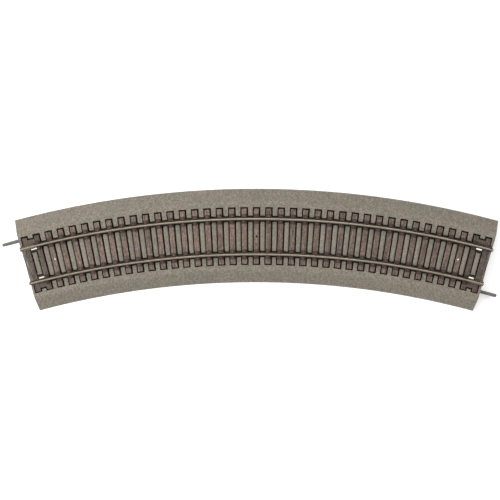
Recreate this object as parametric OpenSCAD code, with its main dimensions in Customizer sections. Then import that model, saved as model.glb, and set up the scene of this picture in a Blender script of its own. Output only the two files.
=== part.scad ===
// Curved H0 track section on a moulded ballast bed.
// The origin is on the underside plane, below the track centreline at mid-length.
// +X runs along the track to the right, +Y points to the outside of the curve and +Z is up.

/* [Track] */
// Radius of the track centreline
radius = 437.5; // [420:0.5:560]
// Angle covered by the section
arc_angle = 30; // [30:0.5:32]
// Clear distance between the rail heads
gauge = 16.5; // [16.4:0.05:16.8]
// Number of sleepers
sleeper_count = 39; // [37:2:41]

/* [Ballast bed] */
// Half width of the bed at its base
base_half = 23; // [22.5:0.1:26]
// Half width of the flat top of the bed
shoulder_half = 16.2; // [16:0.1:17.5]
// Height of the flat top of the bed
shoulder_h = 5.85; // [5.7:0.05:6.3]
// Height of the ballast between the sleepers
crib_h = 5.5; // [5.2:0.05:5.6]
// Height of the upright lip along the base
lip_h = 0.6; // [0.4:0.1:1]
// Thickness of the deck that carries the sleepers
deck_t = 1.4; // [1.2:0.1:1.6]
// Thickness of the sloping sides
side_t = 1.5; // [1.2:0.1:1.8]
// Thickness of the two end walls
end_wall_t = 1.8; // [1.4:0.1:2.4]
// Thickness of the ribs underneath
rib_t = 1.2; // [0.9:0.1:1.5]
// Number of hollow bays underneath
bay_count = 12; // [8:2:12]

/* [Sleepers] */
// Length of a sleeper
sleeper_l = 27.1; // [26.6:0.1:28.2]
// Width of a sleeper
sleeper_w = 2.5; // [2.3:0.05:2.7]
// Thickness of a sleeper
sleeper_t = 1.6; // [1.4:0.05:1.8]
// Groove between a sleeper and the ballast
groove_w = 0.7; // [0.5:0.05:0.8]
// Height of the raised seat under each rail
seat_h = 0.2; // [0.15:0.05:0.3]
// Diameter of the nail holes
nail_hole_d = 1.2; // [1.0:0.1:1.3]

/* [Rail] */
// Height of the rail
rail_h = 2.1; // [2:0.05:2.4]
// Width of the rail head
head_w = 0.8; // [0.7:0.05:1]
// Width of the rail foot
foot_w = 1.75; // [1.6:0.05:1.8]
// How far the rail ends stand out of the bed
rail_overhang = 0.3; // [0:0.1:0.5]

/* [Couplings] */
// Distance of the tongues and sockets from the track centreline
coupling_y = 12.8; // [12.6:0.1:13.2]
// Height of the tongues and sockets above the base
coupling_z = 2.2; // [2.15:0.05:2.25]
// How far a tongue stands out of the end of the bed
tongue_reach = 9.1; // [7:0.1:9.6]
// Radius of a tongue
tongue_r = 0.85; // [0.75:0.05:0.9]
// Radius of the thicker root of a tongue
root_r = 1.05; // [0.95:0.05:1.05]
// Distance of the tongue pivot from the end of the bed
pivot_back = 9; // [8:0.5:12]
// Largest swing of a tongue to each side, in degrees
tongue_swing = 2.5; // [1:0.5:3]
// Length of a rail joiner
joiner_l = 7; // [5.5:0.1:7]

/* [Hidden] */

// The curve is round at this many steps per full turn, and small round parts at the second value.
curve_fn = 720;
small_fn = 48;
// A cutting tool runs past the surface it cuts by this much.
over = 1;

pitch = arc_angle / sleeper_count;
// Distance from one sleeper to the next along the centreline
step = radius * pitch * PI / 180;
end_index = (sleeper_count - 1) / 2;
strip_index = end_index - 2;
deck_z = 4.8;
deck_under = deck_z - deck_t;
sleeper_top = deck_z + sleeper_t;
foot_z = sleeper_top + seat_h;
rail_y = gauge / 2 + head_w / 2;
// The ballast between the rails and beside them stops short of the rail foot.
crib_half = 6.85;
outer_crib = 10.2;
// Two long ribs run underneath, outside the rails, and stop above the base.
long_rib_y = 9.5;
long_rib_low = 1;

// Rail section
foot_t = 0.35;
web_t = 0.5;
head_h = 0.6;
head_slope = 0.15;

// Rail clips
clip_gap = 0.03;
clip_w = 1.1;
clip_reach = 0.9;
clip_nib = 0.3;
clip_h = 0.65;
seat_l = 4.9;

// End sleepers
end_web_outer = 12.1;
apron_half = 9.9;
apron_drop = 0.7;
apron_recess_half = 2.5;
apron_recess_depth = 0.6;
slot_y = 7.1;
slot_w = 1;
slot_l = 3;
slot_bar_y = 6.2;
slot_bar_w = 0.6;
short_crib_half = 5.45;

// Rail joiner
joiner_t = 0.18;
joiner_gap = 0.08;
joiner_groove_t = 0.12;

// Tongue, pin and socket
eye_r = 2.1;
eye_h = 2 * root_r;
pin_r = 0.95;
pin_gap = 0.05;
pin_seat_gap = 0.02;
pin_top = deck_z - 0.35;
pin_head_r = 1.8;
pin_head_h = 0.6;
end_play = 0.1;
root_reach = 0.6;
socket_r = tongue_r + 0.2;
socket_wall_r = 2;
socket_l = tongue_reach + 0.4;

// Angle that an arc of this length covers on the centreline
function arc_deg(length) = length / radius * 180 / PI;

// Local frame on the centreline: x along the track, y to the outside of the curve.
module station(angle) {
    translate([0, -radius, 0])
        rotate([0, 0, -angle])
            translate([0, radius, 0])
                children();
}

// Local frame on an end face: x out of the bed. The tongue is on the right-hand side, at -y.
module end_frame(side) {
    station(side * arc_angle / 2)
        rotate([0, 0, side > 0 ? 0 : 180])
            children();
}

// A section drawn in (distance from the centreline, height) and swept along the curve.
module sweep(start, stop) {
    translate([0, -radius, 0])
        rotate([0, 0, 90 - stop])
            rotate_extrude(angle = stop - start, $fn = curve_fn)
                translate([radius, 0])
                    children();
}

module full_sweep(extra = 0) {
    reach = arc_angle / 2 + arc_deg(extra);
    sweep(-reach, reach) children();
}

// ---------- Ballast bed ----------

module bed_section() {
    polygon([
        [-base_half, 0], [-base_half, lip_h], [-shoulder_half, shoulder_h],
        [shoulder_half, shoulder_h], [base_half, lip_h], [base_half, 0]
    ]);
}

// The hollow follows the sloping sides at an even thickness and leaves two long ribs standing.
module bay_section() {
    slope = (base_half - shoulder_half) / (shoulder_h - lip_h);
    side_offset = side_t * sqrt(1 + slope * slope);
    low_half = base_half - side_offset + slope * lip_h;
    high_half = low_half - slope * deck_under;
    rib_far = long_rib_y + rib_t / 2;
    rib_near = long_rib_y - rib_t / 2;
    polygon([
        [-low_half, -over], [-low_half, 0], [-high_half, deck_under],
        [-rib_far, deck_under], [-rib_far, long_rib_low], [-rib_near, long_rib_low], [-rib_near, deck_under],
        [rib_near, deck_under], [rib_near, long_rib_low], [rib_far, long_rib_low], [rib_far, deck_under],
        [high_half, deck_under], [low_half, 0], [low_half, -over]
    ]);
}

module bays() {
    bay_angle = arc_angle / bay_count;
    for (bay = [0 : bay_count - 1]) {
        low_wall = bay == 0 ? end_wall_t : rib_t / 2;
        high_wall = bay == bay_count - 1 ? end_wall_t : rib_t / 2;
        start = -arc_angle / 2 + bay * bay_angle;
        sweep(start + arc_deg(low_wall), start + bay_angle - arc_deg(high_wall))
            bay_section();
    }
}

module sleeper_pockets() {
    pocket_w = sleeper_w + 2 * groove_w;
    pocket_l = sleeper_l + 2 * groove_w;
    crib_reach = (pocket_l + groove_w) / 2;
    full_sweep(over)
        translate([-crib_reach, crib_h])
            square([2 * crib_reach, sleeper_t]);
    for (index = [-end_index : end_index])
        station(index * pitch)
            translate([-pocket_w / 2, -pocket_l / 2, deck_z])
                cube([pocket_w, pocket_l, sleeper_t + over]);
}

module rail_channels() {
    for (side = [-1, 1])
        full_sweep(over)
            translate([side * (crib_half + outer_crib) / 2 - (outer_crib - crib_half) / 2, deck_z])
                square([outer_crib - crib_half, sleeper_t + over]);
}

// Room for the webs, the slot bars and the apron of an end sleeper pair
module end_pocket() {
    web_room = end_web_outer + groove_w;
    apron_room = apron_half + groove_w;
    for (side = [-1, 1])
        translate([-step * 1.5, side > 0 ? short_crib_half : -web_room, deck_z])
            cube([step, web_room - short_crib_half, sleeper_t + over]);
    translate([-step / 2, -apron_room, deck_z])
        cube([step / 2 + over, 2 * apron_room, sleeper_t + over]);
}

module feeder_slots(z_low, z_high) {
    for (side = [-1, 1])
        translate([-step - slot_l / 2, side * slot_y - slot_w / 2, z_low])
            cube([slot_l, slot_w, z_high - z_low]);
}

module along_x(x, y, z) {
    translate([x, y, z])
        rotate([0, 90, 0])
            children();
}

module ballast_bed() {
    mouth_w = 2 * (root_r + end_play + pivot_back * tan(tongue_swing));
    mouth_h = coupling_z + root_r + end_play;
    color("#8f8d84")
    difference() {
        union() {
            difference() {
                full_sweep() bed_section();
                bays();
            }
            for (side = [-1, 1])
                end_frame(side) {
                    along_x(-socket_l, coupling_y, coupling_z)
                        cylinder(r = socket_wall_r, h = socket_l - end_wall_t / 2, $fn = small_fn);
                    translate([-pivot_back, -coupling_y, coupling_z + eye_h / 2 + end_play])
                        cylinder(r = pin_head_r, h = deck_under - coupling_z - eye_h / 2 + end_play, $fn = small_fn);
                }
        }
        sleeper_pockets();
        rail_channels();
        for (side = [-1, 1])
            end_frame(side) {
                end_pocket();
                feeder_slots(-over, deck_z + over);
                along_x(-socket_l - over, coupling_y, coupling_z)
                    cylinder(r = socket_r, h = socket_l + 2 * over, $fn = small_fn);
                translate([-pivot_back, -coupling_y, 0])
                    cylinder(r = pin_r + pin_seat_gap, h = pin_top + end_play, $fn = small_fn);
                translate([-end_wall_t - over, -coupling_y - mouth_w / 2, -over])
                    cube([end_wall_t + 2 * over, mouth_w, mouth_h + over]);
            }
        for (side = [-1, 1])
            station(side * strip_index * pitch)
                translate([0, 0, -over])
                    cylinder(d = nail_hole_d, h = deck_z + 2 * over, $fn = small_fn);
    }
}

// ---------- Sleepers ----------

// Side view of a sleeper: (distance from the centreline, height), with the two raised rail seats.
module sleeper_side_view(with_seats) {
    half_l = sleeper_l / 2;
    top = sleeper_top;
    seat = with_seats ? foot_z : top;
    inner = rail_y - seat_l / 2;
    outer = rail_y + seat_l / 2;
    polygon([
        [-half_l, deck_z], [-half_l, top], [-outer, top], [-outer, seat], [-inner, seat], [-inner, top],
        [inner, top], [inner, seat], [outer, seat], [outer, top], [half_l, top], [half_l, deck_z]
    ]);
}

// One clip: it stands beside the rail foot and its nib reaches over the foot.
module rail_clip() {
    near = foot_w / 2 + clip_gap;
    far = near + clip_reach;
    under_nib = foot_t + clip_gap;
    translate([-clip_w / 2, 0, foot_z])
        rotate([90, 0, 90])
            linear_extrude(clip_w)
                polygon([
                    [near, -seat_h / 2], [far, -seat_h / 2], [far, clip_h / 2], [far - clip_nib, clip_h],
                    [near - clip_nib, clip_h], [near - clip_nib, under_nib], [near, under_nib]
                ]);
}

module rail_clips() {
    for (side = [-1, 1])
        translate([0, side * rail_y, 0])
            for (turn = [0, 180])
                rotate([0, 0, turn]) rail_clip();
}

module sleeper(with_seats = true) {
    translate([-sleeper_w / 2, 0, 0])
        rotate([90, 0, 90])
            linear_extrude(sleeper_w)
                sleeper_side_view(with_seats);
    if (with_seats) rail_clips();
}

module nail_hole() {
    translate([0, 0, deck_z - over])
        cylinder(d = nail_hole_d, h = sleeper_t + 2 * over, $fn = small_fn);
}

module sleeper_strip() {
    web_w = 1.2;
    web_h = 0.8;
    reach = strip_index * pitch;
    color("#6d5a50")
    difference() {
        union() {
            for (index = [-strip_index : strip_index])
                station(index * pitch) sleeper();
            for (side = [-1, 1])
                sweep(-reach, reach)
                    translate([side * rail_y - web_w / 2, deck_z])
                        square([web_w, web_h]);
        }
        for (index = [-strip_index, 0, strip_index])
            station(index * pitch) nail_hole();
    }
}

// Webs outside the rails, bars beside the feeder slots and the apron at the end of the bed
module end_webs() {
    for (side = [-1, 1]) {
        inner_y = slot_y + slot_w / 2;
        translate([-step * 1.5, side > 0 ? inner_y : -end_web_outer, deck_z])
            cube([step, end_web_outer - inner_y, sleeper_t]);
        translate([-step * 1.5, side * slot_bar_y - slot_bar_w / 2, deck_z])
            cube([step, slot_bar_w, sleeper_t - seat_h]);
    }
    translate([-step / 2, -apron_half, deck_z])
        cube([step / 2, 2 * apron_half, sleeper_t - apron_drop]);
}

module end_sleepers(side) {
    joiner_half = foot_w / 2 + joiner_gap + joiner_t;
    groove_half = joiner_half + joiner_gap;
    color("#5f5148")
    difference() {
        union() {
            station(side * end_index * pitch) sleeper(false);
            station(side * (end_index - 1) * pitch) sleeper();
            end_frame(side) end_webs();
        }
        end_frame(side) {
            for (rail_side = [-1, 1])
                translate([-joiner_l, rail_side * rail_y - groove_half, sleeper_top - joiner_groove_t])
                    cube([joiner_l + over, 2 * groove_half, sleeper_t]);
            feeder_slots(deck_z - over, foot_z + over);
            translate([-apron_recess_depth, -apron_recess_half, deck_z - over])
                cube([apron_recess_depth + over, 2 * apron_recess_half, sleeper_t + 2 * over]);
        }
    }
}

// ---------- Rails and joiners ----------

module rail_section() {
    foot_half = foot_w / 2;
    web_half = web_t / 2;
    head_half = head_w / 2;
    head_z = rail_h - head_h;
    polygon([
        [-foot_half, 0], [foot_half, 0], [foot_half, foot_t * 0.6], [web_half, foot_t],
        [web_half, head_z], [head_half, head_z + head_slope], [head_half, rail_h],
        [-head_half, rail_h], [-head_half, head_z + head_slope], [-web_half, head_z],
        [-web_half, foot_t], [-foot_half, foot_t * 0.6]
    ]);
}

module rail(side) {
    color("#b9b19a")
        full_sweep(rail_overhang)
            translate([side * rail_y, foot_z])
                rail_section();
}

// Folded sleeve around the rail foot, open at the top for the web
module joiner_section() {
    inner_half = foot_w / 2 + joiner_gap;
    outer_half = inner_half + joiner_t;
    low = -joiner_gap - joiner_t;
    high = foot_t + joiner_gap;
    lip = web_t / 2 + joiner_gap * 2;
    polygon([
        [-outer_half, low], [outer_half, low], [outer_half, high + joiner_t], [lip, high + joiner_t],
        [lip, high], [inner_half, high], [inner_half, -joiner_gap], [-inner_half, -joiner_gap],
        [-inner_half, high], [-lip, high], [-lip, high + joiner_t], [-outer_half, high + joiner_t]
    ]);
}

// The joiner sits on the right-hand rail of its end, seen looking out of the bed.
module rail_joiner(side) {
    half = arc_angle / 2;
    back = arc_deg(joiner_l - rail_overhang);
    front = arc_deg(rail_overhang);
    color("#8a8474")
        sweep(side > 0 ? half - back : -half - front, side > 0 ? half + front : -half + back)
            translate([-side * rail_y, foot_z])
                joiner_section();
}

// ---------- Coupling tongues ----------

module coupling_tongue(side) {
    tip_x = tongue_reach - tongue_r;
    color("#6f7171")
    end_frame(side)
    difference() {
        union() {
            along_x(-pivot_back, -coupling_y, coupling_z)
                cylinder(r = root_r, h = pivot_back + root_reach, $fn = small_fn);
            along_x(0, -coupling_y, coupling_z)
                cylinder(r = tongue_r, h = tip_x, $fn = small_fn);
            translate([tip_x, -coupling_y, coupling_z])
                sphere(r = tongue_r, $fn = small_fn);
            translate([-pivot_back, -coupling_y, coupling_z - eye_h / 2])
                cylinder(r = eye_r, h = eye_h, $fn = small_fn);
        }
        translate([-pivot_back, -coupling_y, 0])
            cylinder(r = pin_r + pin_gap, h = deck_z, $fn = small_fn);
    }
}

module tongue_pin(side) {
    head_top = coupling_z - eye_h / 2 - end_play;
    color("#55585a")
    end_frame(side)
    translate([-pivot_back, -coupling_y, 0])
    union() {
        translate([0, 0, head_top - pin_head_h])
            cylinder(r = pin_head_r, h = pin_head_h, $fn = small_fn);
        translate([0, 0, head_top - pin_head_h / 2])
            cylinder(r = pin_r, h = pin_top - head_top + pin_head_h / 2, $fn = small_fn);
    }
}

ballast_bed();
sleeper_strip();
end_sleepers(-1);  // left_end_sleepers
end_sleepers(1);  // right_end_sleepers
rail(1);  // outer_rail
rail(-1);  // inner_rail
rail_joiner(-1);  // left_rail_joiner
rail_joiner(1);  // right_rail_joiner
coupling_tongue(-1);  // left_coupling_tongue
coupling_tongue(1);  // right_coupling_tongue
tongue_pin(-1);  // left_tongue_pin
tongue_pin(1);  // right_tongue_pin
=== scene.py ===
"""Looks of the curved model track section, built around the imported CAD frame.

Lengths in this script are in millimetres and become metres when a mesh is made.
Along the curve, s is the arc length on the centreline, d the distance from it
(positive to the outside of the curve) and z the height above the base.
"""

import math

import bpy
import numpy as np
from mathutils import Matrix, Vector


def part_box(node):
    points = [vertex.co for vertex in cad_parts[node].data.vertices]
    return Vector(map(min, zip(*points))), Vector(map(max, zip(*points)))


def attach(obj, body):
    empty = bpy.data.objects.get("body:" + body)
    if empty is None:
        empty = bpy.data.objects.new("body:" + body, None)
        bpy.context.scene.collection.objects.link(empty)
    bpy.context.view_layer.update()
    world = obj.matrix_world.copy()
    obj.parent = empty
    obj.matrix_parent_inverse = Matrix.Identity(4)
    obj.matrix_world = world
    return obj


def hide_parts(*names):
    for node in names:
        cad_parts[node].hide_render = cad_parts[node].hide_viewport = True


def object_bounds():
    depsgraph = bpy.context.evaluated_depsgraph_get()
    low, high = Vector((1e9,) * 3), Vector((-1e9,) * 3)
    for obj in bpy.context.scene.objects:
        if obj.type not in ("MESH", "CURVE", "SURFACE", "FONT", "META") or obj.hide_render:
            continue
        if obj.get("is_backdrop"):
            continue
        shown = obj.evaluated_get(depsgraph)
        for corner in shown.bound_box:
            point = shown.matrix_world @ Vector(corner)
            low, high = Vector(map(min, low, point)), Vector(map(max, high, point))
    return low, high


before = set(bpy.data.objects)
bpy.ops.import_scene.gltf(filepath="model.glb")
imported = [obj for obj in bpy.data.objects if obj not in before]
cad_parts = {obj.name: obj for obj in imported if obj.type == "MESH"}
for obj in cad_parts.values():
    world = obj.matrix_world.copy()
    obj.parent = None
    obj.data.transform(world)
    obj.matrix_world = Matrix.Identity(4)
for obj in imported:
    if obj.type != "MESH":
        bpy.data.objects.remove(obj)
cad_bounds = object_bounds()

MM = 0.001
TINY = 1e-6

# Edges sharper than these angles in degrees are shaded as edges: made pieces, rails and CAD nodes
PIECE_SHARP, RAIL_SHARP, CAD_SHARP = 50, 35, 30


# ---------- The frame in millimetres ----------

# Search range for the radius of the centreline
SMALLEST_RADIUS = 100.0
LARGEST_RADIUS = 2000.0
HALVINGS = 60


def box_mm(node):
    low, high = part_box(node)
    return np.array(low) / MM, np.array(high) / MM


def solve_curve():
    """Centreline radius and half angle, from the bed's outermost and lowest corners."""
    low, high = box_mm("ballast_bed")
    base_half = high[1]
    near, far = SMALLEST_RADIUS, LARGEST_RADIUS
    for _ in range(HALVINGS):
        radius = (near + far) / 2
        half_angle = math.asin(high[0] / (radius + base_half))
        corner_y = (radius - base_half) * math.cos(half_angle) - radius
        if corner_y > low[1]:
            far = radius
        else:
            near = radius
    return radius, half_angle


RADIUS, HALF_ANGLE = solve_curve()

# Sleepers are numbered from -LAST at the left end to LAST at the right end. PITCH is the angle
# and STEP the arc length from one to the next.
SLEEPERS = 39
PITCH = 2 * HALF_ANGLE / SLEEPERS
STEP = RADIUS * PITCH
LAST = (SLEEPERS - 1) // 2

# Bed: the cladding with the stones lies on the CAD bed and stands a little proud of it.
# Values in braces are for the outside (1) and the inside (-1) of the curve.
PROUD = 0.15
END_PROUD = 0.03
BASE_HALF = box_mm("ballast_bed")[1][1] + PROUD
SHOULDER_HALF = 16.4
BED_TOP = box_mm("ballast_bed")[1][2] + 0.06
BED_EDGE_SHARPNESS = 7.0
LIP_TOP = 0.62
LIP_LOW = 0.03
LIP_WIDTH = 1.0
DECK = box_mm("sleeper_strip")[0][2]
FLOOR = DECK + 0.02
CLAD_LOW = DECK - 0.4
CLAD_LOW_HALF = SHOULDER_HALF - 0.8
GRID = 0.22

# Pockets for the sleeper ends. The shares run from a pocket's wall (0) to the middle between two (1).
BALLAST_INNER = 10.15
POCKET_END = {1: 14.3, -1: 14.0}
WEB_POCKET_END = 12.7
POCKET_HALF = 1.8
WALL = 0.05
RIM = 0.07
RIM_DROP = 0.1
BESIDE_POCKET = (WALL / 1.2, 0.11, 0.28, 0.46, 0.64, 0.82)

# Stones: size, height, and how much of each is rounded. The ground below them swells a little.
STONE = 0.62
STONE_RISE = 0.15
STONE_ROUND = 0.45
SIDE_SALT = {1: 11, -1: 47}
SWELL_SIZE = (5.0, 3.0)
SWELL_RISE = 0.1
LOW_EDGE = 0.5

# Crib loaves between the rails
LOAF_HALF_W = 1.12
LOAF_HALF_L = 7.25
END_LOAF_HALF_L = 5.45
LOAF_TOP = BED_TOP - 0.02
LOAF_ROLL = 0.28
LOAF_EDGE = 0.16
LOAF_INSET = 0.16
LOAF_SWELL_RISE = 0.08
LOAF_FOOT = 0.04
LOAF_COLUMNS = 13
LOAF_CROWDING = math.pi / 2 * 0.93
LOAF_SALT = 80
# Painted shade on a loaf's two long walls: strong on the one in the sleeper's shadow, slight on the lit one
LOAF_SHADED, LOAF_LIT = 0.75, 0.1
END_LIP_HALF_W = 0.3
END_LIP_HALF_L = 1.25
END_LIP_RISE = 0.3
END_LIP_ROLL = 0.12
END_LIP_SEED = 60

# Sleepers
SLEEPER_HALF_W = 1.23
SLEEPER_HALF_L = 13.55
SLEEPER_SHIFT = -0.12
SLEEPER_END_SHIFT = 0.1
SLEEPER_DRAFT = 0.08
FOOT_Z = box_mm("outer_rail")[0][2]
PLATE_RISE = 0.2
SLEEPER_TOP = FOOT_Z - PLATE_RISE
PLATE_HALF = 2.45
GRAIN_RISE = 0.09
GRAIN_LEVEL = 0.7
GRAIN_SPACING = 0.42
GRAIN_COLUMNS = 19
BEVEL = 0.07
EDGE_DROP = 0.1
END_DROP = 0.09
SHOULDER_DROP = 0.2
SIDE_WOBBLE = 0.02
STEP_HALF = 0.03
PLATE_SHARE = 0.85

# Seeds and tones: END_SEED is for the right end (1) and the left end (-1).
STRIP_SEED = 40
END_SEED = {1: 90, -1: 95}
HUE_SALT, TONE_SALT, LOAF_TONE_SALT = 61, 62, 63
LIGHT_TONE, DARK_TONE, TONE_SPREAD = 0.64, 0.18, 0.2
FIRST_LIGHT = 4 - LAST

# Grain of the moulded wood: width and length of each kind of mark
DRIFT_LENGTH = 6.0
FIBRE_SIZE = (0.27, 6.5)
THREAD_SIZE = (0.13, 2.6)
CRACK_SIZE = (0.7, 9.0)
CRACK_WIDTH = 0.055

# Rails
RAIL_TOP = box_mm("outer_rail")[1][2]
FOOT_HALF = (box_mm("outer_rail")[1][1] + box_mm("inner_rail")[1][1]) / 2
RAIL_Y = (box_mm("outer_rail")[1][1] - box_mm("inner_rail")[1][1]) / 2
RAIL_OVERHANG = 0.3
HEAD_HALF = 0.4
WEB_HALF = 0.25
FOOT_T = 0.35
HEAD_T = 0.6
RAIL_SPACING = 1.0
RAIL_BEVEL = 0.05
RAIL_END_SCALE = 0.94

# Rail fixings
CLIP_HALF = 0.55
CLIP_BEVEL = 0.1
CLIP_TAPER = 0.8
BOLT_IN = 0.4
BOLT_PROFILE = ((0.3, -0.08), (0.3, 0.12), (0.24, 0.2), (0.1, 0.24))

# End sleeper pairs
WEB_OUTER = 12.1
APRON_HALF = 9.9
APRON_RECESS_HALF = 2.5
APRON_RECESS = 0.6
APRON_TOP = SLEEPER_TOP - 0.7
APRON_ASH = 0.75
WEB_DROP = 0.06
SLOT_BAR_DROP = 0.25
SLOT_Y = 7.1
SLOT_HALF_W = 0.5
SLOT_BAR_Y = 6.5
SLOT_BAR_HALF = 0.45
JOINER_HALF = 1.21
JOINER_FLOOR = 6.28
NAIL_R = 0.48
NAIL_SLEEPERS = (2 - LAST, 0, LAST - 2)

# Studio, in metres
ROOM_SIDE_LIGHT = 0.68
ROOM_TOP_LIGHT = 0.44
FLOOR_HALF = 4.0
FLOOR_Z = -0.00005
FLOOR_GLOW = 0.4
KEY_PLACE, KEY_SIZE, KEY_STRENGTH = (-0.8, -0.17, 0.6), 0.3, 0.46
BACK_PLACE, BACK_SIZE, BACK_STRENGTH = (0.1, 1.0, 1.2), 1.2, 0.34
CAMERA_PLACE = (-0.00436, 0.0429, 0.6723)
CAMERA_TURN = (-0.0743, -0.0017, 0.0011)
CAMERA_LENS = 98.12
SENSOR_WIDTH = 36.0

# Light panel under the bed, in millimetres
PANEL_END_GAP = 3.0
PANEL_EDGE_GAP = 0.8
PANEL_STEP = 5.0
PANEL_Z = -0.02


# ---------- Mapping ----------

def on_curve(s, d, z):
    """Frame points from arc length, distance and height."""
    a = s / RADIUS
    return np.stack([(RADIUS + d) * np.sin(a), (RADIUS + d) * np.cos(a) - RADIUS, z], -1)


def on_station(angle, x, y, z):
    """Frame points from a straight local frame that stands on the centreline at an angle."""
    out = RADIUS + y
    sine, cosine = math.sin(angle), math.cos(angle)
    return np.stack([x * cosine + out * sine, out * cosine - RADIUS - x * sine, z], -1)


def on_end(side, x, y, z):
    """Frame points from the local frame of an end face: x out of the bed, socket at +y."""
    return on_station(side * HALF_ANGLE, side * x, side * y, z)


# ---------- Repeatable noise ----------

def scatter(i, j, salt):
    """A value from 0 to 1 for each whole-number cell, the same in each run.

    It mixes the cell's numbers with large odd factors.
    """
    h = (i.astype(np.int64) * 73856093) ^ (j.astype(np.int64) * 19349663) ^ (salt * 83492791)
    h = ((h ^ (h >> 13)) & 0xFFFFFFFF) * 1274126177
    h = ((h ^ (h >> 16)) & 0xFFFFFFFF) * 974634777
    return ((h >> 8) & 0xFFFF) / 65535.0


def one_value(index, salt):
    """One repeatable value from 0 to 1."""
    return float(scatter(np.array([index]), np.array([salt]), salt)[0])


def smooth(t):
    """A soft step from 0 to 1."""
    t = np.clip(t, 0, 1)
    return t * t * (3 - 2 * t)


def noise(x, y, salt):
    """Smooth noise from 0 to 1 on a grid of unit cells."""
    i, j = np.floor(x), np.floor(y)
    fx, fy = smooth(x - i), smooth(y - j)
    low = scatter(i, j, salt) * (1 - fx) + scatter(i + 1, j, salt) * fx
    high = scatter(i, j + 1, salt) * (1 - fx) + scatter(i + 1, j + 1, salt) * fx
    return low * (1 - fy) + high * fy


def stones(x, y, salt):
    """Packed rounded stones over a plane: height from 0 to 1, and a tint for each stone."""
    x, y = x / STONE, y / STONE
    cell_x, cell_y = np.floor(x), np.floor(y)
    nearest, second = np.full(x.shape, 9.0), np.full(x.shape, 9.0)
    tint = np.zeros(x.shape)
    for step_x in (-1, 0, 1):
        for step_y in (-1, 0, 1):
            i, j = cell_x + step_x, cell_y + step_y
            stone_x = i + 0.1 + 0.8 * scatter(i, j, salt)
            stone_y = j + 0.1 + 0.8 * scatter(i, j, salt + 1)
            away = np.hypot(x - stone_x, y - stone_y)
            closer = away < nearest
            second = np.where(closer, nearest, np.minimum(second, away))
            tint = np.where(closer, scatter(i, j, salt + 2), tint)
            nearest = np.where(closer, away, nearest)
    round_top = smooth((second - nearest) / STONE_ROUND)
    return round_top * (0.45 + 0.55 * np.modf(tint * 7.31)[0]), tint


# ---------- Solids ----------

def fill(marks, spacing):
    """Grid lines through every mark, with even lines no further apart than the spacing."""
    parts = []
    for start, stop in zip(marks, marks[1:]):
        count = max(1, math.ceil((stop - start) / spacing - TINY))
        parts.append(np.linspace(start, stop, count + 1)[:-1])
    return np.append(np.concatenate(parts), marks[-1])


def signed_volume(points, quads, caps):
    """Six times the volume inside the faces: negative when they look inwards."""
    centred = points - points.mean(0)
    triangles = [quads[:, [0, 1, 2]], quads[:, [0, 2, 3]]]
    for cap in caps:
        triangles.append(np.stack([np.full(len(cap) - 2, cap[0]), cap[1:-1], cap[2:]], -1))
    a, b, c = np.moveaxis(centred[np.concatenate(triangles)], 1, 0)
    return float((a * np.cross(b, c)).sum())


def ring_solid(rings, **attributes):
    """A closed solid from rows of closed rings, with a cap on the first and the last ring."""
    rows, count = rings.shape[:2]
    points = rings.reshape(-1, 3)
    first = np.arange(rows - 1)[:, None] * count
    here = np.arange(count)[None]
    after = (here + 1) % count
    corners = [first + here, first + after, first + count + after, first + count + here]
    quads = np.stack(np.broadcast_arrays(*corners), -1).reshape(-1, 4)
    caps = [np.arange(count)[::-1], np.arange(count) + (rows - 1) * count]
    if signed_volume(points, quads, caps) < 0:
        quads = quads[:, ::-1]
        caps = [cap[::-1] for cap in caps]
    values = {}
    for name, value in attributes.items():
        value = np.asarray(value, float)
        shape = (rows, count, 3) if value.ndim == 3 else (rows, count)
        values[name] = np.broadcast_to(value, shape).reshape((rows * count,) + shape[2:])
    return {"points": points, "quads": quads, "caps": caps, "values": values}


def make_piece(name, solids, material, sharp_angle=PIECE_SHARP):
    """One Blender object from closed solids, riding on the track body."""
    starts = np.cumsum([0] + [len(solid["points"]) for solid in solids])
    faces = []
    for start, solid in zip(starts, solids):
        faces += (solid["quads"] + start).tolist()
        faces += [(cap + start).tolist() for cap in solid["caps"]]
    points = np.concatenate([solid["points"] for solid in solids]) * MM
    mesh = bpy.data.meshes.new(name)
    mesh.from_pydata(points.tolist(), [], faces)
    for key, sample in solids[0]["values"].items():
        kind = "FLOAT_VECTOR" if sample.ndim == 2 else "FLOAT"
        data = np.concatenate([solid["values"][key] for solid in solids])
        layer = mesh.attributes.new(key, kind, "POINT").data
        layer.foreach_set("vector" if sample.ndim == 2 else "value", data.astype(np.float32).ravel())
    mesh.shade_smooth()
    mesh.set_sharp_from_angle(angle=math.radians(sharp_angle))
    mesh.materials.append(material)
    piece = bpy.data.objects.new(name, mesh)
    bpy.context.scene.collection.objects.link(piece)
    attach(piece, "track")
    return piece


# ---------- Materials ----------

def linear(red, green, blue):
    """Linear colour of an 8-bit display colour."""
    channels = [c / 255 for c in (red, green, blue)]
    low = [c / 12.92 if c <= 0.04045 else ((c + 0.055) / 1.055) ** 2.4 for c in channels]
    return (*low, 1.0)


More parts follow.
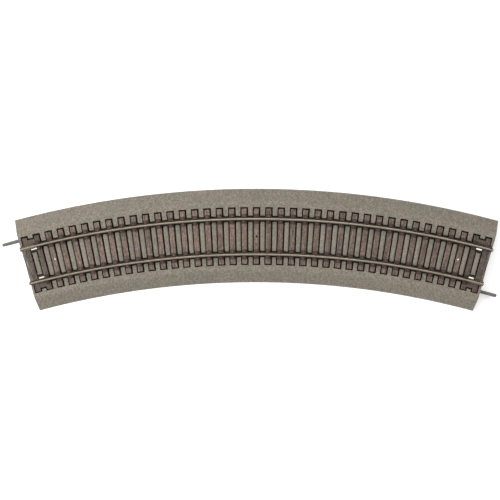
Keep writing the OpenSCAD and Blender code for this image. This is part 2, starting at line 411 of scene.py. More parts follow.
class Paint:
    """A material whose shader nodes are added and linked by name."""

    def __init__(self, name):
        self.material = bpy.data.materials.new(name)
        self.material.use_nodes = True
        self.tree = self.material.node_tree
        self.shader = self.tree.nodes["Principled BSDF"]

    def put(self, socket, value):
        if isinstance(value, bpy.types.NodeSocket):
            self.tree.links.new(value, socket)
        else:
            socket.default_value = value

    def node(self, kind, inputs, output=0, **settings):
        made = self.tree.nodes.new(kind)
        for key, value in settings.items():
            setattr(made, key, value)
        for key, value in inputs.items():
            self.put(made.inputs[key], value)
        return made.outputs[output]

    def place(self):
        """Object coordinates in millimetres."""
        here = self.node("ShaderNodeTexCoord", {}, "Object")
        return self.node("ShaderNodeVectorMath", {0: here, "Scale": 1 / MM}, operation="SCALE")

    def stretch(self, vector, x, y, z):
        return self.node("ShaderNodeVectorMath", {0: vector, 1: (x, y, z)}, operation="MULTIPLY")

    def value(self, name):
        return self.node("ShaderNodeAttribute", {}, "Fac", attribute_name=name)

    def vector(self, name):
        return self.node("ShaderNodeAttribute", {}, "Vector", attribute_name=name)

    def noise(self, vector, scale, detail=3.0, rough=0.55):
        inputs = {"Vector": vector, "Scale": scale, "Detail": detail, "Roughness": rough}
        return self.node("ShaderNodeTexNoise", inputs)

    def grains(self, vector, scale, output="Distance"):
        return self.node("ShaderNodeTexVoronoi", {"Vector": vector, "Scale": scale}, output)

    def span(self, value, low, high, to_low=0.0, to_high=1.0):
        inputs = {"Value": value, 1: low, 2: high, 3: to_low, 4: to_high}
        return self.node("ShaderNodeMapRange", inputs)

    def sum(self, a, b):
        return self.node("ShaderNodeMath", {0: a, 1: b}, operation="ADD")

    def product(self, a, b):
        return self.node("ShaderNodeMath", {0: a, 1: b}, operation="MULTIPLY")

    def mix(self, factor, a, b, blend="MIX"):
        inputs = {0: factor, 6: a, 7: b}
        return self.node("ShaderNodeMix", inputs, 2, data_type="RGBA", blend_type=blend)

    def shaded(self, color, light):
        return self.mix(1.0, color, light, "MULTIPLY")

    def height(self, place):
        return self.node("ShaderNodeSeparateXYZ", {0: place}, "Z")

    def bump(self, height, distance):
        inputs = {"Height": height, "Distance": distance * MM, "Strength": 1.0}
        return self.node("ShaderNodeBump", inputs)

    def finish(self, color, roughness, normal=None, metallic=0.0, specular=0.5):
        self.put(self.shader.inputs["Base Color"], color)
        self.put(self.shader.inputs["Roughness"], roughness)
        self.put(self.shader.inputs["Metallic"], metallic)
        self.put(self.shader.inputs["Specular IOR Level"], specular)
        if normal is not None:
            self.put(self.shader.inputs["Normal"], normal)
        return self.material


# Stone, the shade colour painted into pockets, grooves and the deck, and the painted shade on the slopes
STONE_DARK = linear(118, 112, 102)
STONE_LIGHT = linear(160, 152, 139)
STONE_GREEN = linear(128, 131, 116)
STONE_WARM = linear(151, 134, 121)
RECESS_SHADE = linear(16, 11, 7)
SLOPE_SHADE = 0.93
PATCH_SHARE = 0.32

# Sleepers, as reddish wood, olive wood, rail plate and ash. The dark rail plate colour is partly the
# plates' own colour and partly painted shade from the clips.
STRIP_COLORS = linear(121, 99, 91), linear(110, 99, 86), linear(48, 33, 22), linear(120, 114, 102)
END_COLORS = linear(98, 83, 75), linear(90, 81, 71), linear(42, 31, 22), linear(126, 119, 108)

# Metals and plastic, each from dark to light
RAIL_BRIGHT = linear(170, 157, 138), linear(188, 176, 157)
RAIL_BROWN = linear(34, 28, 22), linear(54, 45, 36)
JOINER_METAL = linear(86, 76, 62), linear(150, 140, 120)
PIN_STEEL = linear(70, 70, 70), linear(120, 120, 118)
TONGUE_GREY = linear(88, 87, 85), linear(112, 111, 108)
FLOOR_WHITE = (0.90, 0.90, 0.90, 1.0), (0.92, 0.92, 0.92, 1.0)
WHITE = (1.0, 1.0, 1.0, 1.0)


def stone_color(paint, place, tint):
    """Grey stones, each in its own shade, with greenish and brownish patches."""
    color = paint.mix(tint, STONE_DARK, STONE_LIGHT)
    hue = paint.span(paint.noise(place, 0.16, 4), 0.36, 0.64)
    patches = paint.mix(hue, STONE_GREEN, STONE_WARM)
    color = paint.mix(PATCH_SHARE, color, patches)
    specks = paint.span(paint.noise(place, 3.2, 2), 0.62, 0.75, 0.0, 0.25)
    return paint.mix(specks, color, STONE_LIGHT)


def ballast_material():
    """Moulded ballast: the tint, the depth between stones and the level come from the mesh. Painted shade
    darkens the hollows between stones, the slopes, the pockets, the loaf walls and the underside.
    """
    paint = Paint("ballast_stone")
    place = paint.place()
    color = stone_color(paint, place, paint.value("tint"))
    # Painted shade: the lower a point lies between the stones, the darker it is, and surfaces below the
    # shoulder, the slopes, are a little darker
    shade = paint.span(paint.value("rise"), 0.0, 0.7, 0.62, 1.0)
    height = paint.height(place)
    slope = paint.span(height, BED_TOP - 0.9, BED_TOP - 0.2, SLOPE_SHADE, 1.0)
    color = paint.shaded(color, paint.product(shade, slope))
    # Painted shade: pocket floors, loaf walls and the underside take the shade colour by the mesh's mask
    color = paint.mix(paint.value("deep"), color, RECESS_SHADE)
    fine = paint.sum(paint.noise(place, 6.0, 4), paint.grains(place, 4.0))
    roughness = paint.span(paint.noise(place, 2.0), 0.3, 0.7, 0.78, 0.95)
    return paint.finish(color, roughness, paint.bump(fine, 0.035), specular=0.3)


def bed_material():
    """The moulded plastic body below the stones: sides, end walls and underside."""
    paint = Paint("bed_plastic")
    place = paint.place()
    color = stone_color(paint, place, paint.span(paint.grains(place, 1.6, "Color"), 0.0, 1.0))
    height = paint.height(place)
    # Painted shade: the deck takes the full shade colour, and the walls above it less and less of it, about
    # half near the bed top
    at_deck = paint.span(height, DECK - 0.3, DECK - 0.02)
    above = paint.span(height, DECK + 0.5, BED_TOP - 0.1, 1.0, 0.55)
    color = paint.mix(paint.product(at_deck, above), color, RECESS_SHADE)
    flow = paint.noise(place, 0.6, 5)
    roughness = paint.span(flow, 0.3, 0.7, 0.5, 0.72)
    fine = paint.sum(paint.noise(place, 9.0, 3), flow)
    return paint.finish(color, roughness, paint.bump(fine, 0.02), specular=0.4)


def sleeper_material(name, red_wood, olive_wood, plate, ash):
    """Moulded wood: grain runs along each sleeper, and each sleeper has its own hue."""
    paint = Paint(name)
    along = paint.vector("grain")
    broad = paint.noise(paint.stretch(along, 2.2, 0.16, 1.0), 1.0, 5, 0.6)
    fibre = paint.noise(paint.stretch(along, 9.0, 0.5, 1.0), 1.0, 4, 0.65)
    patch = paint.span(paint.noise(paint.stretch(along, 0.9, 0.3, 1.0), 1.0, 3), 0.36, 0.64)
    color = paint.mix(paint.mix(0.55, paint.value("hue"), patch), olive_wood, red_wood)
    color = paint.mix(paint.value("ash"), color, ash)
    light = paint.span(paint.sum(broad, fibre), 0.8, 1.2, 0.6, 1.42)
    mottle = paint.span(paint.noise(paint.stretch(along, 1.3, 0.85, 1.0), 1.0, 3), 0.34, 0.66, 0.62, 1.36)
    light = paint.product(light, mottle)
    shade = paint.span(paint.value("shade"), 0.0, 1.0, 0.84, 1.14)
    color = paint.shaded(color, paint.product(light, shade))
    # Painted shade: the side walls, marked -1, go almost black as in the grooves' shade; on top the grain's
    # ridges are lighter and its cracks darker, partly painted shade
    worn = paint.span(paint.value("rise"), -1.0, 1.0, 0.05, 1.12)
    color = paint.shaded(color, worn)
    # Partly painted shade: plates, clips and bolts take the dark plate colour, their own colour together
    # with the clips' shade; noise lessens it in blotches
    plate_blotches = paint.span(paint.noise(paint.stretch(along, 1.1, 1.1, 1.0), 1.0, 3), 0.34, 0.66, 0.72, 1.0)
    color = paint.mix(paint.product(paint.value("plate"), plate_blotches), color, plate)
    roughness = paint.span(fibre, 0.3, 0.7, 0.55, 0.8)
    return paint.finish(color, roughness, paint.bump(fibre, 0.03), specular=0.4)


def rail_material():
    """Nickel silver: bright where wheels run on the head, browned on the web and the foot."""
    paint = Paint("rail_metal")
    place = paint.place()
    worn = paint.value("worn")
    blotch = paint.noise(place, 0.5, 5)
    bright = paint.mix(paint.span(blotch, 0.35, 0.65), *RAIL_BRIGHT)
    brown = paint.mix(paint.span(blotch, 0.3, 0.7), *RAIL_BROWN)
    color = paint.mix(worn, brown, bright)
    scratches = paint.noise(place, 14.0, 2)
    roughness = paint.sum(paint.span(worn, 0, 1, 0.55, 0.36), paint.span(scratches, 0.3, 0.7, -0.06, 0.08))
    metallic = paint.span(worn, 0.0, 1.0, 0.6, 1.0)
    return paint.finish(color, roughness, paint.bump(scratches, 0.006), metallic)


def metal_material(name, dark, light, rough_low, rough_high):
    """Plain folded or turned metal with stains and fine scratches."""
    paint = Paint(name)
    place = paint.place()
    stains = paint.noise(place, 1.1, 5)
    color = paint.mix(paint.span(stains, 0.35, 0.68), dark, light)
    scratches = paint.noise(place, 12.0, 3)
    roughness = paint.span(scratches, 0.3, 0.7, rough_low, rough_high)
    return paint.finish(color, roughness, paint.bump(scratches, 0.01), metallic=0.85)


def tongue_material():
    """Tough grey plastic with faint flow marks."""
    paint = Paint("tongue_plastic")
    place = paint.place()
    flow = paint.noise(paint.stretch(place, 0.3, 1.4, 1.4), 1.0, 5, 0.6)
    color = paint.mix(paint.span(flow, 0.3, 0.7), *TONGUE_GREY)
    fine = paint.noise(place, 10.0, 3)
    roughness = paint.span(fine, 0.3, 0.7, 0.38, 0.55)
    return paint.finish(color, roughness, paint.bump(fine, 0.012), specular=0.5)


def floor_material():
    """A plain white floor with a faint glow of its own."""
    paint = Paint("floor_white")
    place = paint.place()
    tone = paint.span(paint.noise(place, 0.02, 2), 0.3, 0.7)
    color = paint.mix(tone, *FLOOR_WHITE)
    paint.put(paint.shader.inputs["Emission Color"], color)
    paint.put(paint.shader.inputs["Emission Strength"], FLOOR_GLOW)
    return paint.finish(color, 0.9, specular=0.1)


# ---------- Ballast ----------

def bed_profile(pocket_end):
    """Distances from the centreline and heights of the bed's top, from the rail channel to the base."""
    marks = [BALLAST_INNER, BALLAST_INNER + RIM, WEB_POCKET_END - WALL, WEB_POCKET_END,
             WEB_POCKET_END + RIM, pocket_end - WALL, pocket_end, pocket_end + RIM,
             SHOULDER_HALF, BASE_HALF]
    d = fill(marks, GRID)
    slope = (BED_TOP - LIP_TOP) / (BASE_HALF - SHOULDER_HALF)
    side = LIP_TOP + (BASE_HALF - d) * slope
    both = np.exp(-BED_EDGE_SHARPNESS * BED_TOP) + np.exp(-BED_EDGE_SHARPNESS * side)
    return d, -np.log(both) / BED_EDGE_SHARPNESS


def pitch_lines():
    """Lines across one pitch, in order: each is in the pocket or on the ballast to its left or right.

    The number is the share of the pocket's half width, or of the way from its wall to the next pitch.
    """
    inside = [("in", q) for q in fill([-1.0, 1.0], GRID / POCKET_HALF)]
    left = [("left", q) for q in reversed(BESIDE_POCKET)]
    right = [("right", q) for q in BESIDE_POCKET]
    return [("left", 1.0)] + left + inside + right


def ballast_rows(side, d):
    """Arc lengths of the rows across the stones, and which rows are in a pocket or beside an end web."""
    wall_share = POCKET_HALF / (STEP * (1 + side * d / RADIUS))
    rows, pockets, joined = [], [], []
    for index in range(-LAST, LAST + 1):
        for kind, q in pitch_lines():
            if kind == "in":
                share = wall_share * q
            else:
                share = (wall_share + (0.5 - wall_share) * q) * (1 if kind == "right" else -1)
            rows.append((index + share) * STEP)
            pockets.append(kind == "in")
            gap_index = index + (0.5 if kind == "right" else -0.5)
            joined.append(kind != "in" and abs(gap_index) == LAST - 0.5)
    rows.append((LAST + 0.5) * STEP * np.ones(len(d)))
    pockets.append(False)
    joined.append(False)
    s = np.array(rows)
    s[0] -= END_PROUD
    s[-1] += END_PROUD
    return s, np.array(pockets)[:, None], np.array(joined)[:, None]


def ballast_side(side):
    """The stones outside the rails: one closed strip with a pocket for each sleeper end."""
    pocket_end = POCKET_END[side]
    d, z = bed_profile(pocket_end)
    s, pockets, joined = ballast_rows(side, d)
    boundary = np.abs(np.abs(s / STEP) - (LAST - 0.5)) < TINY
    open_floor = pockets & (d < pocket_end + TINY)
    open_floor |= (joined | boundary) & (d < WEB_POCKET_END + TINY)

    # The stones stand on the profile, along its normal, and fade out at the base edge.
    across = np.concatenate([[0], np.cumsum(np.hypot(np.diff(d), np.diff(z)))])
    along = s * (1 + side * d / RADIUS)
    rise, tint = stones(along, across[None] + 0 * along, SIDE_SALT[side])
    swell = noise(along / SWELL_SIZE[0], across[None] / SWELL_SIZE[1], 5 + side) - 0.5
    slope = np.gradient(z, d)
    lean = np.hypot(slope, 1)
    normal_d, normal_z = -slope / lean, 1 / lean
    low_edge = smooth((BASE_HALF - d) / LOW_EDGE)
    lift = (rise * STONE_RISE + swell * SWELL_RISE) * low_edge
    near_wall = np.exp(-np.abs(d - BALLAST_INNER) / RIM_DROP)
    top_d = d + lift * normal_d
    top_z = z + lift * normal_z - RIM_DROP * near_wall

    # Pockets go down to the deck, and the rims beside them are a little lower.
    beside_open = np.zeros(open_floor.shape, bool)
    beside_open[1:] |= open_floor[:-1]
    beside_open[:-1] |= open_floor[1:]
    beside_open[:, 1:] |= open_floor[:, :-1]
    top_z = np.where(beside_open & ~open_floor, top_z - RIM_DROP, top_z)
    top_z = np.where(open_floor, FLOOR, top_z)
    top_d = np.where(open_floor, d, top_d)

    # Each ring runs over the top and back through four points underneath.
    count = len(s)
    under = [(BASE_HALF, LIP_LOW), (BASE_HALF - LIP_WIDTH, LIP_LOW), (CLAD_LOW_HALF, CLAD_LOW),
             (BALLAST_INNER, CLAD_LOW)]
    ring_d = np.column_stack([top_d] + [np.full(count, under_d) for under_d, _ in under])
    ring_z = np.column_stack([top_z] + [np.full(count, under_z) for _, under_z in under])
    ring_s = np.column_stack([s] + [s[:, -1]] * 3 + [s[:, 0]])
    # Painted shade: the pocket floors and the underside take the shade colour
    deep = np.column_stack([np.where(open_floor, 1.0, 0.0)] + [np.zeros(count)] * 3 + [np.ones(count)])
    pad = [np.full(count, 0.5)] * 4
    rings = on_curve(ring_s, side * ring_d, ring_z)
    return ring_solid(rings, tint=np.column_stack([tint] + pad), deep=deep,
                      rise=np.column_stack([rise * low_edge + 0.5 * (1 - low_edge)] + pad))


def lump(place, half_x, half_y, top, salt, roll):
    """A rounded bar of stones with its long side along local y. roll is the drop of its edges."""
    x = np.sin(np.linspace(-1, 1, LOAF_COLUMNS) * LOAF_CROWDING)
    x = half_x * x / math.sin(LOAF_CROWDING)
    y = fill([-half_y, -half_y + 0.06, -half_y + 0.18, half_y - 0.18, half_y - 0.06, half_y], GRID)
    grid_y, grid_x = np.meshgrid(y, x, indexing="ij")
    near_side = half_x - np.abs(grid_x)
    near_end = half_y - np.abs(grid_y)
    inset = LOAF_INSET * np.exp(-near_end / 0.1)
    grid_x = grid_x * (1 - inset)
    rise, tint = stones(grid_x + 31.7 * salt, grid_y, LOAF_SALT + salt)
    tint = tint * 0.7 + 0.5 * (one_value(salt, LOAF_TONE_SALT) - 0.2)
    edge = np.exp(-near_side / LOAF_EDGE) + np.exp(-near_end / LOAF_EDGE)
    swell = noise(grid_x / 2 + salt, grid_y / 4, 3) - 0.5
    bumps = (rise * STONE_RISE + swell * LOAF_SWELL_RISE) * (1 - 0.8 * np.clip(edge, 0, 1))
    grid_z = top + bumps - roll * edge
    wall_x = (half_x + LOAF_FOOT) * (1 - inset[:, 0])
    bottom = np.full(len(y), CLAD_LOW)
    mid = np.full(len(y), (CLAD_LOW + top) / 2 + 0.15)
    ring_x = np.column_stack([-wall_x, -wall_x, grid_x, wall_x, wall_x])
    ring_z = np.column_stack([bottom, mid, grid_z, mid, bottom])
    ring_y = np.broadcast_to(y[:, None], ring_x.shape)
    half, full = np.full(len(y), 0.5), np.ones(len(y))
    # Painted light and shade: the bottom takes the shade colour, the wall at -x much of it as if in the
    # sleeper's shadow, the lit wall at +x little
    shaded, lit = full * LOAF_SHADED, full * LOAF_LIT
    return ring_solid(place(ring_x, ring_y, ring_z),
                      tint=np.column_stack([half, half, tint, half, half]),
                      rise=np.column_stack([half, half, rise, half, half]),
                      deep=np.column_stack([full, shaded, np.zeros(grid_x.shape), lit, full]))


def crib_loaves():
    """The ballast between the rails: a loaf between each two sleepers, with raised lips on the end ones."""
    solids = []
    for gap in range(SLEEPERS - 1):
        angle = (gap - LAST + 0.5) * PITCH
        at_end = gap in (0, SLEEPERS - 2)
        half_l = END_LOAF_HALF_L if at_end else LOAF_HALF_L
        lip_turns = (-1, 1) if at_end else ()

        def place(x, y, z, angle=angle):
            return on_station(angle, x * (1 + y / RADIUS), y, z)

        solids.append(lump(place, LOAF_HALF_W, half_l, LOAF_TOP, gap, LOAF_ROLL))
        for turn in lip_turns:

            def lip_place(x, y, z, angle=angle, turn=turn):
                return on_station(angle, y, turn * (END_LOAF_HALF_L - 0.2) + x, z)

            solids.append(lump(lip_place, END_LIP_HALF_W, END_LIP_HALF_L, LOAF_TOP + END_LIP_RISE,
                               END_LIP_SEED + gap, END_LIP_ROLL))
    return solids


# ---------- Sleepers ----------

def wood(x, y, seed):
    """Height of moulded wood grain from 0 to 1: fibres along y, with a few open cracks.

    The factors of seed move each block to its own part of the noise.
    """
    drift = 0.35 * noise(y / DRIFT_LENGTH + 3.1 * seed, np.full(y.shape, 0.5), 21)
    fibres = noise((x + drift) / FIBRE_SIZE[0] + 13.7 * seed, y / FIBRE_SIZE[1], 22)
    threads = noise((x + drift) / THREAD_SIZE[0] + 5.3 * seed, y / THREAD_SIZE[1], 23)
    crack = noise((x + drift) / CRACK_SIZE[0] + 9.1 * seed, y / CRACK_SIZE[1], 24)
    open_crack = np.exp(-((crack - 0.5) / CRACK_WIDTH) ** 2)
    return np.clip(0.25 + 0.5 * fibres + 0.3 * threads - 0.75 * open_crack, 0, 1)


def rail_plate(y):
    """1 on the smooth plates below the rails, 0 on the wood between them."""
    return 1.0 if abs(abs(y) - RAIL_Y) < PLATE_HALF else 0.0


def no_plate(_):
    return 0.0


def all_plate(_):
    return 1.0


def sleeper_tone(seed):
    """Lightness of a sleeper from 0 to 1: the left half of the strip is a little lighter."""
    index = seed - STRIP_SEED
    tone = LIGHT_TONE if FIRST_LIGHT <= index <= 0 else DARK_TONE
    return tone + TONE_SPREAD * one_value(seed, TONE_SALT)


def tones(seed, shape):
    """Hue and lightness of one sleeper, for all points of a solid."""
    return {"hue": np.full(shape, one_value(seed, HUE_SALT)),
            "shade": np.full(shape, sleeper_tone(seed))}


def grain_block(place, half_x, y_marks, top_at, seed, plate_at=no_plate, ash=0.0):
    """A closed block with wood grain on top.

    top_at(y) gives the height along the block, and plate_at(y) is 1 on a smooth dark plate.
    """
    first, *inner, last = y_marks
    y = fill([first, first + BEVEL] + inner + [last - BEVEL, last], GRAIN_SPACING)
    x = half_x * np.linspace(-1, 1, GRAIN_COLUMNS) * (1 - 0.03 / half_x)
    grid_y, grid_x = np.meshgrid(y, x, indexing="ij")
    grain = wood(grid_x, grid_y, seed)
    at_end = np.minimum(grid_y - y[0], y[-1] - grid_y) < TINY
    from_side = half_x - np.abs(grid_x)
    level = np.array([top_at(v) for v in y])[:, None]
    plate = np.array([plate_at(v) for v in y])[:, None]
    rise = grain * (1 - plate) + 0.6 * plate
    grid_z = level + GRAIN_RISE * (rise - GRAIN_LEVEL) * (1 - plate)
    grid_z = grid_z - EDGE_DROP * np.exp(-from_side / BEVEL)
    grid_z = np.where(at_end, grid_z - END_DROP, grid_z)
    wobble = SIDE_WOBBLE * (noise(y / 1.3 + seed, np.full(y.shape, 0.5), 31) - 0.5)
    side = np.full(len(y), half_x) + wobble
    shoulder = level[:, 0] - SHOULDER_DROP
    base = np.full(len(y), DECK)
    foot = side + SLEEPER_DRAFT
    ring_x = np.column_stack([-foot, -side, grid_x, side, foot])
    ring_z = np.column_stack([base, shoulder, grid_z, shoulder, base])
    ring_y = np.broadcast_to(y[:, None], ring_x.shape)
    # The side walls are marked -1, which the material paints with shade
    wall = np.full(len(y), -1.0)
    local = np.stack([ring_x + 6.1 * seed, ring_y, ring_z + 2.3 * seed], -1)
    shape = ring_x.shape
    return ring_solid(place(ring_x, ring_y, ring_z), grain=local,
                      rise=np.column_stack([wall, wall, rise, wall, wall]),
                      plate=np.broadcast_to(plate * PLATE_SHARE, shape), ash=np.full(shape, ash),
                      **tones(seed, shape))


def plate_edges():
    """Marks along a sleeper at the rail plates, with a narrow step on each side."""
    marks = []
    for side in (-1, 1):
        for edge in sorted((side * RAIL_Y - PLATE_HALF, side * RAIL_Y + PLATE_HALF)):
            marks += [edge - STEP_HALF, edge + STEP_HALF]
    return sorted(marks)


def seated_top(y):
    """Top of an ordinary sleeper, with a raised plate below each rail."""
    return SLEEPER_TOP + PLATE_RISE * rail_plate(y)


def plain_sleeper(index):
    """One ordinary sleeper, which sits a little to one side in its pockets."""

    def place(x, y, z):
        return on_station(index * PITCH, x + SLEEPER_SHIFT, y, z)

    marks = [SLEEPER_END_SHIFT - SLEEPER_HALF_L] + plate_edges() + [SLEEPER_END_SHIFT + SLEEPER_HALF_L]
    return grain_block(place, SLEEPER_HALF_W, marks, seated_top, index + STRIP_SEED, rail_plate)


def clip(place, seed):
    """A moulded rail clip: its side view carried along x, narrower at its ends."""
    outline = np.array(clip_outline())
    centre = outline.mean(0)
    rows = [(-CLIP_HALF, CLIP_TAPER), (-CLIP_HALF + CLIP_BEVEL, 1.0),
            (CLIP_HALF - CLIP_BEVEL, 1.0), (CLIP_HALF, CLIP_TAPER)]
    rings = []
    for x, scale in rows:
        shaped = centre + (outline - centre) * scale
        rings.append(place(np.full(len(outline), x), shaped[:, 0], shaped[:, 1]))
    rings = np.array(rings)
    shape = rings.shape[:2]
    local = np.broadcast_to(np.array([seed, 0.0, 0.0]), shape + (3,))
    return ring_solid(rings, grain=local + rings * 0.3, rise=np.full(shape, 0.8),
                      plate=np.full(shape, 0.8), ash=np.zeros(shape), **tones(seed, shape))


def clip_outline():
    """Side view of a rail clip that stands beside the foot and reaches over it."""
    near = FOOT_HALF + 0.03
    far = near + 0.9
    over_foot = FOOT_Z + FOOT_T + 0.03
    top = FOOT_Z + 0.66
    return [(near, FOOT_Z - 0.1), (far, FOOT_Z - 0.1), (far, FOOT_Z + 0.22), (far - 0.12, FOOT_Z + 0.4),
            (far - 0.36, top - 0.05), (far - 0.5, top), (near - 0.2, top), (near - 0.3, top - 0.08),
            (near - 0.3, over_foot), (near, over_foot)]


def bolt(place, y, seed):
    """A low bolt head with rounded shoulders."""
    turns = np.linspace(0, 2 * math.pi, 10, endpoint=False)
    rings = []
    for radius, height in BOLT_PROFILE:
        x = radius * np.cos(turns)
        rings.append(place(x, y + radius * np.sin(turns), np.full(len(turns), FOOT_Z + height)))
    rings = np.array(rings)
    shape = rings.shape[:2]
    return ring_solid(rings, grain=rings * 0.3, rise=np.full(shape, 0.9), plate=np.full(shape, 0.7),
                      ash=np.zeros(shape), **tones(seed, shape))


def rail_fixings(index):
    """Two clips and two bolt heads on each rail plate of a sleeper."""
    solids = []
    for side in (-1, 1):
        for turn in (-1, 1):

            def place(x, y, z, side=side, turn=turn):
                return on_station(index * PITCH, turn * x, side * RAIL_Y + turn * y, z)

            solids.append(clip(place, index + STRIP_SEED))
            solids.append(bolt(place, PLATE_HALF - BOLT_IN, index + STRIP_SEED))
    return solids


def sleeper_group(indices):
    """The solids of these sleepers with their rail fixings."""
    solids = []
    for index in indices:
        solids.append(plain_sleeper(index))
        solids += rail_fixings(index)
    return solids


def drill(piece, indices):
    """Cuts the round nail hole through these sleepers of a piece."""
    turns = np.linspace(0, 2 * math.pi, 24, endpoint=False)
    cores = []
    for index in indices:
        x, y = NAIL_R * np.cos(turns), NAIL_R * np.sin(turns)
        rings = [on_station(index * PITCH, x, y, np.full(len(turns), z)) for z in (DECK - 1, RAIL_TOP)]
        cores.append(ring_solid(np.array(rings)))
    cutter = make_piece("nail_cutter", cores, piece.data.materials[0])
    cut = piece.modifiers.new("nail_holes", "BOOLEAN")
    cut.object = cutter
    cut.solver = "EXACT"
    bpy.context.view_layer.update()
    evaluated = piece.evaluated_get(bpy.context.evaluated_depsgraph_get())
    piece.data = bpy.data.meshes.new_from_object(evaluated)
    piece.modifiers.clear()
    bpy.data.objects.remove(cutter)


def joiner_top(y):
    """Top of the end sleeper: cut down below the rail joiners."""
    return JOINER_FLOOR if abs(abs(y) - RAIL_Y) < JOINER_HALF else SLEEPER_TOP


def end_pair(side):
    """The two joined sleepers at one end of the bed, with webs, slot bars and apron."""
    seed = END_SEED[side]

    def at_sleeper(from_end):
        return lambda x, y, z: on_station(side * (HALF_ANGLE - from_end * PITCH), x, y, z)

    def beside(middle, turn):
        return lambda x, y, z: on_end(side, middle + x, turn * y, z)

    def web_top(y):
        return min(joiner_top(y), SLEEPER_TOP - WEB_DROP)

    joiner_marks = [rail_side * RAIL_Y + edge * JOINER_HALF + nudge
                    for rail_side in (-1, 1) for edge in (-1, 1) for nudge in (-STEP_HALF, STEP_HALF)]
    last_marks = [-SLEEPER_HALF_L] + sorted(joiner_marks) + [SLEEPER_HALF_L]
    seated_marks = [-SLEEPER_HALF_L] + plate_edges() + [SLEEPER_HALF_L]
    joiner_edge = RAIL_Y + JOINER_HALF
    web_marks = [SLOT_Y + SLOT_HALF_W, joiner_edge - STEP_HALF, joiner_edge + STEP_HALF, WEB_OUTER]
    bar_marks = [SLOT_BAR_Y - SLOT_BAR_HALF, SLOT_BAR_Y + SLOT_BAR_HALF]
    half_gap = STEP / 2 - SLEEPER_HALF_W + 0.15
    apron_half = STEP / 4
    recess_half = APRON_RECESS / 2
    recess_marks = [-APRON_RECESS_HALF - 0.1, APRON_RECESS_HALF + 0.1]

    solids = [
        grain_block(at_sleeper(0.5), SLEEPER_HALF_W, last_marks, joiner_top, seed),
        grain_block(at_sleeper(1.5), SLEEPER_HALF_W, seated_marks, seated_top, seed + 1, rail_plate),
    ]
    solids += rail_fixings(side * (LAST - 1))
    for turn in (-1, 1):
        web_place, apron_place = beside(-STEP, turn), beside(-apron_half, turn)
        solids += [
            grain_block(web_place, half_gap, web_marks, web_top, seed + 2),
            # Partly painted shade: the slot bars take the dark plate colour all over
            grain_block(web_place, half_gap, bar_marks, lambda y: SLEEPER_TOP - SLOT_BAR_DROP,
                        seed + 3, all_plate),
            grain_block(apron_place, apron_half, [APRON_RECESS_HALF, APRON_HALF], lambda y: APRON_TOP,
                        seed, ash=APRON_ASH),
        ]
    solids.append(grain_block(beside(-apron_half - recess_half, 1), apron_half - recess_half, recess_marks,
                              lambda y: APRON_TOP - 0.02, seed, ash=APRON_ASH))
    return solids


# ---------- Rails ----------

def rail_outline():
    """Right half of the rail section from the foot to the head, as (across, height, wear)."""
    height = RAIL_TOP - FOOT_Z
    head_low = height - HEAD_T
    return [(FOOT_HALF - 0.05, 0.0, 0.0), (FOOT_HALF, 0.05, 0.0), (FOOT_HALF, FOOT_T * 0.5, 0.1),
            (FOOT_HALF - 0.06, FOOT_T * 0.62, 0.1), (WEB_HALF + 0.14, FOOT_T * 0.95, 0.0),
            (WEB_HALF + 0.02, FOOT_T + 0.12, 0.0), (WEB_HALF, FOOT_T + 0.3, 0.0),
            (WEB_HALF, head_low - 0.08, 0.0), (WEB_HALF + 0.04, head_low, 0.05),
            (HEAD_HALF - 0.03, head_low + 0.14, 0.15), (HEAD_HALF, head_low + 0.2, 0.3),
            (HEAD_HALF, height - 0.16, 0.55), (HEAD_HALF - 0.05, height - 0.06, 0.85),
            (HEAD_HALF - 0.14, height - 0.01, 1.0), (0.12, height, 1.0)]


def rail(side):
    """One rail: the rolled section swept along the curve, a little smaller at its very ends."""
    right = rail_outline()
    section = np.array(right + [(-x, z, w) for x, z, w in reversed(right)])
    reach = RADIUS * HALF_ANGLE + RAIL_OVERHANG
    s = fill([-reach, -reach + RAIL_BEVEL, reach - RAIL_BEVEL, reach], RAIL_SPACING)
    shrink = np.where((s == s[0]) | (s == s[-1]), RAIL_END_SCALE, 1.0)[:, None]
    middle = section[:, 1].mean()
    across = section[None, :, 0] * shrink
    height = middle + (section[None, :, 1] - middle) * shrink
    rings = on_curve(np.broadcast_to(s[:, None], across.shape), side * RAIL_Y + across, FOOT_Z + height)
    return ring_solid(rings, worn=np.broadcast_to(section[None, :, 2], across.shape))


# ---------- Assembly ----------

def paint_node(node, material):
    """A CAD node whose shape stays gets its finish."""
    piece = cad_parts[node]
    if not piece.material_slots:
        piece.data.materials.append(material)
    for holder in piece.material_slots:
        holder.material = material
    piece.data.shade_smooth()
    piece.data.set_sharp_from_angle(angle=math.radians(CAD_SHARP))


def build_track():
    """The visual pieces that stand for CAD nodes or clad them."""
    stone = ballast_material()
    wood_paint = sleeper_material("sleeper_wood", *STRIP_COLORS)
    end_paint = sleeper_material("end_sleeper_wood", *END_COLORS)
    rail_paint = rail_material()
    make_piece("outer_ballast", [ballast_side(1)], stone)
    make_piece("inner_ballast", [ballast_side(-1)], stone)
    make_piece("crib_ballast", crib_loaves(), stone)
    indices = range(2 - LAST, LAST - 1)
    closed = sleeper_group([index for index in indices if index not in NAIL_SLEEPERS])
    strip = make_piece("sleepers", closed, wood_paint)
    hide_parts("sleeper_strip")
    nailed = make_piece("nail_sleepers", sleeper_group(NAIL_SLEEPERS), wood_paint)
    drill(nailed, NAIL_SLEEPERS)
    for name, side in (("left", -1), ("right", 1)):
        pair = make_piece(f"{name}_sleeper_pair", end_pair(side), end_paint)
        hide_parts(f"{name}_end_sleepers")
    for name, side in (("outer", 1), ("inner", -1)):
        piece = make_piece(f"{name}_running_rail", [rail(side)], rail_paint, RAIL_SHARP)
        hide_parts(f"{name}_rail")


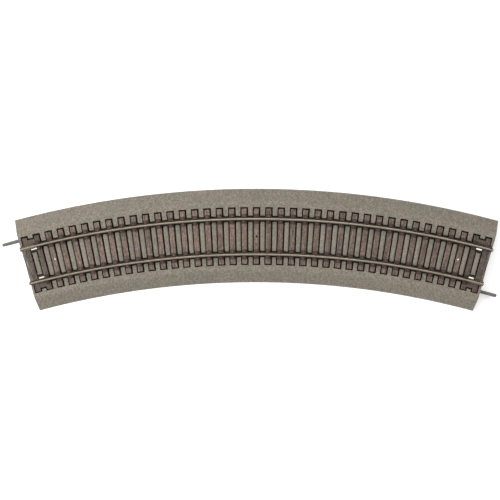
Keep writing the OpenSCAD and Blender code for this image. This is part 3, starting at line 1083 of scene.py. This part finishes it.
def paint_frame():
    """Finishes for the CAD nodes that stay visible."""
    joiner = metal_material("joiner_metal", *JOINER_METAL, 0.35, 0.5)
    steel = metal_material("pin_steel", *PIN_STEEL, 0.3, 0.45)
    grey = tongue_material()
    paint_node("ballast_bed", bed_material())
    for end in ("left", "right"):
        paint_node(f"{end}_rail_joiner", joiner)
        paint_node(f"{end}_coupling_tongue", grey)
        paint_node(f"{end}_tongue_pin", steel)


# ---------- Studio ----------

def stage_sheet(name, points, faces, material):
    """An open sheet of the studio, which isn't part of the object."""
    mesh = bpy.data.meshes.new(name)
    mesh.from_pydata(points, [], faces)
    mesh.materials.append(material)
    sheet = bpy.data.objects.new(name, mesh)
    bpy.context.scene.collection.objects.link(sheet)
    sheet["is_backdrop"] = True


def make_floor():
    corners = [(x * FLOOR_HALF, y * FLOOR_HALF, FLOOR_Z) for x, y in ((-1, -1), (1, -1), (1, 1), (-1, 1))]
    stage_sheet("floor", corners, [(0, 1, 2, 3)], floor_material())


def make_light_panel():
    """A lit panel under the bed, seen only through the slots and the nail holes."""
    reach = RADIUS * HALF_ANGLE - PANEL_END_GAP
    half = FOOT_HALF + RAIL_Y - PANEL_EDGE_GAP
    s, d = np.meshgrid(fill([-reach, reach], PANEL_STEP), np.array([-half, half]), indexing="ij")
    points = on_curve(s, d, np.full(s.shape, PANEL_Z)).reshape(-1, 3) * MM
    faces = [(2 * k, 2 * k + 1, 2 * k + 3, 2 * k + 2) for k in range(len(s) - 1)]
    glow = Paint("panel_glow")
    glow.put(glow.shader.inputs["Emission Color"], WHITE)
    glow.put(glow.shader.inputs["Emission Strength"], 1.0)
    stage_sheet("light_panel", points.tolist(), faces, glow.finish(WHITE, 0.9))


def area_light(name, place, size, strength):
    """A square soft light that faces the origin. Strength is the light that it adds to a white floor."""
    light = bpy.data.lights.new(name, "AREA")
    lamp = bpy.data.objects.new(name, light)
    lamp.location = place
    distance = lamp.location.length
    light.size = size
    light.energy = strength * (math.pi * distance) ** 2 * distance / place[2]
    lamp.rotation_mode = "QUATERNION"
    lamp.rotation_quaternion = (-lamp.location).to_track_quat("-Z", "Y")
    bpy.context.scene.collection.objects.link(lamp)


def make_world():
    """A white room that is dimmer overhead than at the sides, so that metal tops stay calm."""
    world = bpy.data.worlds.new("studio")
    world.use_nodes = True
    tree = world.node_tree
    backdrop = tree.nodes["Background"]
    backdrop.inputs["Color"].default_value = WHITE
    direction = tree.nodes.new("ShaderNodeTexCoord").outputs["Generated"]
    split = tree.nodes.new("ShaderNodeSeparateXYZ")
    tree.links.new(direction, split.inputs[0])
    fade = tree.nodes.new("ShaderNodeMapRange")
    tree.links.new(split.outputs["Z"], fade.inputs["Value"])
    fade.inputs[3].default_value = ROOM_SIDE_LIGHT
    fade.inputs[4].default_value = ROOM_TOP_LIGHT
    tree.links.new(fade.outputs[0], backdrop.inputs["Strength"])
    bpy.context.scene.world = world


def make_lights():
    make_world()
    area_light("key", KEY_PLACE, KEY_SIZE, KEY_STRENGTH)
    area_light("back", BACK_PLACE, BACK_SIZE, BACK_STRENGTH)


def make_camera():
    """Nearly overhead, a little to the outside of the curve."""
    data = bpy.data.cameras.new("camera")
    data.sensor_width = SENSOR_WIDTH
    data.lens = CAMERA_LENS
    data.clip_start, data.clip_end = 0.01, 20.0
    camera = bpy.data.objects.new("camera", data)
    camera.location = CAMERA_PLACE
    camera.rotation_mode = "ZYX"
    camera.rotation_euler = CAMERA_TURN
    bpy.context.scene.collection.objects.link(camera)
    bpy.context.scene.camera = camera
    bpy.context.scene.view_settings.view_transform = "Standard"


def write_sizes():
    """The CAD box and the visual model's box, put in a dictionary that nothing uses or writes."""
    boxes = {"cad": cad_bounds, "visual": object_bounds()}
    plain = {name: [list(corner) for corner in corners] for name, corners in boxes.items()}


build_track()
paint_frame()
make_floor()
make_light_panel()
make_lights()
make_camera()
write_sizes()
